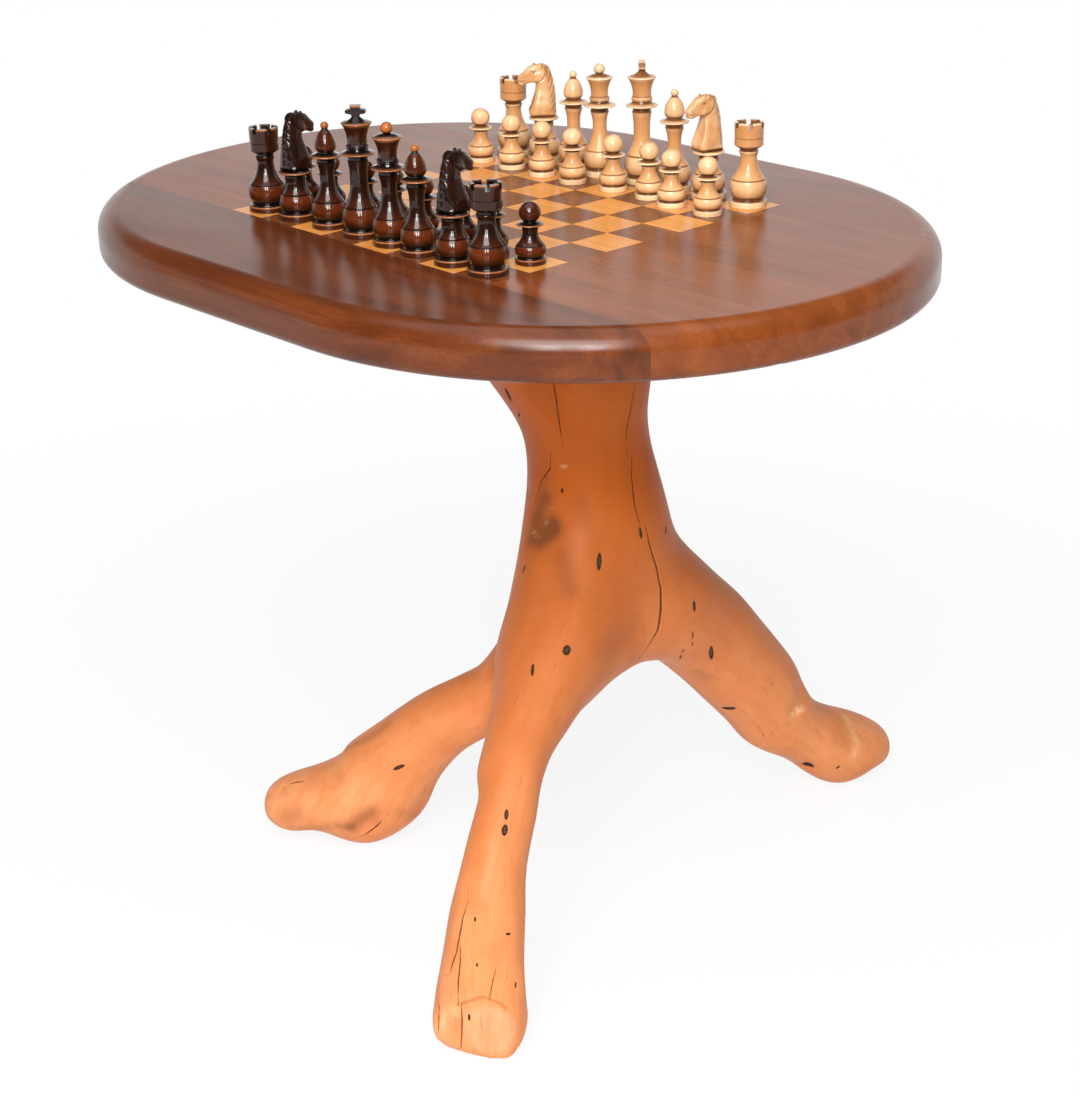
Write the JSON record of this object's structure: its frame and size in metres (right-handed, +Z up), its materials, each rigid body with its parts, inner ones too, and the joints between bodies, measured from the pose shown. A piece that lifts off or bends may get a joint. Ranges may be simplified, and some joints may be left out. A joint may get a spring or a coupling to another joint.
{
  "type": "games table",
  "caption": "Chess table: racetrack top of three glued planks with an inlaid board, on a natural three-legged tree fork, with turned chessmen set out for play.",
  "frame": {"origin": "bottom centre of the whole table's box, on the floor; the middle of the top stands a little in front of it, because the right toe reaches out past the top's rear edge", "axes": "+X along the top's long axis, +Y from the dark men's side to the light men's side, +Z up"},
  "size_m": [0.864, 0.7504, 0.8185],
  "materials": {
    "root_wood": "satin lacquer over honey-coloured wood",
    "bearer_wood": "plain planed beech",
    "steel": "zinc plated",
    "plank_wood": "satin red-brown stain",
    "light_inlay": "satin amber",
    "dark_inlay": "satin brown",
    "dark_men": "gloss lacquer",
    "light_men": "gloss lacquer"
  },
  "bodies": {
    "table": {"root_base": "root_wood", "left_bearer": "bearer_wood", "right_bearer": "bearer_wood", "coach_screws": "steel", "coach_washers": "steel", "top_screws": "steel", "front_plank": "plank_wood", "centre_plank": "plank_wood", "rear_plank": "plank_wood", "front_seam_dowels": "bearer_wood", "rear_seam_dowels": "bearer_wood", "light_squares": "light_inlay", "dark_squares": "dark_inlay"},
    "dark_rook_1": {"dark_rook_1": "dark_men"},
    "dark_knight_1": {"dark_knight_1_base": "dark_men", "dark_knight_1_head": "dark_men"},
    "dark_bishop_1": {"dark_bishop_1": "dark_men"},
    "dark_king": {"dark_king_body": "dark_men", "dark_king_finial": "dark_men"},
    "dark_queen": {"dark_queen": "dark_men"},
    "dark_bishop_2": {"dark_bishop_2": "dark_men"},
    "dark_knight_2": {"dark_knight_2_base": "dark_men", "dark_knight_2_head": "dark_men"},
    "dark_rook_2": {"dark_rook_2": "dark_men"},
    "dark_pawn_1": {"dark_pawn_1": "dark_men"},
    "dark_pawn_2": {"dark_pawn_2": "dark_men"},
    "dark_pawn_3": {"dark_pawn_3": "dark_men"},
    "dark_pawn_4": {"dark_pawn_4": "dark_men"},
    "dark_pawn_5": {"dark_pawn_5": "dark_men"},
    "dark_pawn_6": {"dark_pawn_6": "dark_men"},
    "dark_pawn_7": {"dark_pawn_7": "dark_men"},
    "dark_pawn_8": {"dark_pawn_8": "dark_men"},
    "light_rook_1": {"light_rook_1": "light_men"},
    "light_knight_1": {"light_knight_1_base": "light_men", "light_knight_1_head": "light_men"},
    "light_bishop_1": {"light_bishop_1": "light_men"},
    "light_king": {"light_king_body": "light_men", "light_king_finial": "light_men"},
    "light_queen": {"light_queen": "light_men"},
    "light_bishop_2": {"light_bishop_2": "light_men"},
    "light_knight_2": {"light_knight_2_base": "light_men", "light_knight_2_head": "light_men"},
    "light_rook_2": {"light_rook_2": "light_men"},
    "light_pawn_1": {"light_pawn_1": "light_men"},
    "light_pawn_2": {"light_pawn_2": "light_men"},
    "light_pawn_3": {"light_pawn_3": "light_men"},
    "light_pawn_4": {"light_pawn_4": "light_men"},
    "light_pawn_5": {"light_pawn_5": "light_men"},
    "light_pawn_6": {"light_pawn_6": "light_men"},
    "light_pawn_7": {"light_pawn_7": "light_men"},
    "light_pawn_8": {"light_pawn_8": "light_men"}
  },
  "joints": [
    {"name": "dark_rook_1_lift", "type": "slide", "parent": "table", "child": "dark_rook_1", "axis": [0, 0, 1], "range_m": [0, 0.14]},
    {"name": "dark_knight_1_lift", "type": "slide", "parent": "table", "child": "dark_knight_1", "axis": [0, 0, 1], "range_m": [0, 0.14]},
    {"name": "dark_bishop_1_lift", "type": "slide", "parent": "table", "child": "dark_bishop_1", "axis": [0, 0, 1], "range_m": [0, 0.14]},
    {"name": "dark_king_lift", "type": "slide", "parent": "table", "child": "dark_king", "axis": [0, 0, 1], "range_m": [0, 0.14]},
    {"name": "dark_queen_lift", "type": "slide", "parent": "table", "child": "dark_queen", "axis": [0, 0, 1], "range_m": [0, 0.14]},
    {"name": "dark_bishop_2_lift", "type": "slide", "parent": "table", "child": "dark_bishop_2", "axis": [0, 0, 1], "range_m": [0, 0.14]},
    {"name": "dark_knight_2_lift", "type": "slide", "parent": "table", "child": "dark_knight_2", "axis": [0, 0, 1], "range_m": [0, 0.14]},
    {"name": "dark_rook_2_lift", "type": "slide", "parent": "table", "child": "dark_rook_2", "axis": [0, 0, 1], "range_m": [0, 0.14]},
    {"name": "dark_pawn_1_lift", "type": "slide", "parent": "table", "child": "dark_pawn_1", "axis": [0, 0, 1], "range_m": [0, 0.14]},
    {"name": "dark_pawn_2_lift", "type": "slide", "parent": "table", "child": "dark_pawn_2", "axis": [0, 0, 1], "range_m": [0, 0.14]},
    {"name": "dark_pawn_3_lift", "type": "slide", "parent": "table", "child": "dark_pawn_3", "axis": [0, 0, 1], "range_m": [0, 0.14]},
    {"name": "dark_pawn_4_lift", "type": "slide", "parent": "table", "child": "dark_pawn_4", "axis": [0, 0, 1], "range_m": [0, 0.14]},
    {"name": "dark_pawn_5_lift", "type": "slide", "parent": "table", "child": "dark_pawn_5", "axis": [0, 0, 1], "range_m": [0, 0.14]},
    {"name": "dark_pawn_6_lift", "type": "slide", "parent": "table", "child": "dark_pawn_6", "axis": [0, 0, 1], "range_m": [0, 0.14]},
    {"name": "dark_pawn_7_lift", "type": "slide", "parent": "table", "child": "dark_pawn_7", "axis": [0, 0, 1], "range_m": [0, 0.14]},
    {"name": "dark_pawn_8_lift", "type": "slide", "parent": "table", "child": "dark_pawn_8", "axis": [0, 0, 1], "range_m": [0, 0.14]},
    {"name": "light_rook_1_lift", "type": "slide", "parent": "table", "child": "light_rook_1", "axis": [0, 0, 1], "range_m": [0, 0.14]},
    {"name": "light_knight_1_lift", "type": "slide", "parent": "table", "child": "light_knight_1", "axis": [0, 0, 1], "range_m": [0, 0.14]},
    {"name": "light_bishop_1_lift", "type": "slide", "parent": "table", "child": "light_bishop_1", "axis": [0, 0, 1], "range_m": [0, 0.14]},
    {"name": "light_king_lift", "type": "slide", "parent": "table", "child": "light_king", "axis": [0, 0, 1], "range_m": [0, 0.14]},
    {"name": "light_queen_lift", "type": "slide", "parent": "table", "child": "light_queen", "axis": [0, 0, 1], "range_m": [0, 0.14]},
    {"name": "light_bishop_2_lift", "type": "slide", "parent": "table", "child": "light_bishop_2", "axis": [0, 0, 1], "range_m": [0, 0.14]},
    {"name": "light_knight_2_lift", "type": "slide", "parent": "table", "child": "light_knight_2", "axis": [0, 0, 1], "range_m": [0, 0.14]},
    {"name": "light_rook_2_lift", "type": "slide", "parent": "table", "child": "light_rook_2", "axis": [0, 0, 1], "range_m": [0, 0.14]},
    {"name": "light_pawn_1_lift", "type": "slide", "parent": "table", "child": "light_pawn_1", "axis": [0, 0, 1], "range_m": [0, 0.14]},
    {"name": "light_pawn_2_lift", "type": "slide", "parent": "table", "child": "light_pawn_2", "axis": [0, 0, 1], "range_m": [0, 0.14]},
    {"name": "light_pawn_3_lift", "type": "slide", "parent": "table", "child": "light_pawn_3", "axis": [0, 0, 1], "range_m": [0, 0.14]},
    {"name": "light_pawn_4_lift", "type": "slide", "parent": "table", "child": "light_pawn_4", "axis": [0, 0, 1], "range_m": [0, 0.14]},
    {"name": "light_pawn_5_lift", "type": "slide", "parent": "table", "child": "light_pawn_5", "axis": [0, 0, 1], "range_m": [0, 0.14]},
    {"name": "light_pawn_6_lift", "type": "slide", "parent": "table", "child": "light_pawn_6", "axis": [0, 0, 1], "range_m": [0, 0.14]},
    {"name": "light_pawn_7_lift", "type": "slide", "parent": "table", "child": "light_pawn_7", "axis": [0, 0, 1], "range_m": [0, 0.14]},
    {"name": "light_pawn_8_lift", "type": "slide", "parent": "table", "child": "light_pawn_8", "axis": [0, 0, 1], "range_m": [0, 0.14]}
  ]
}
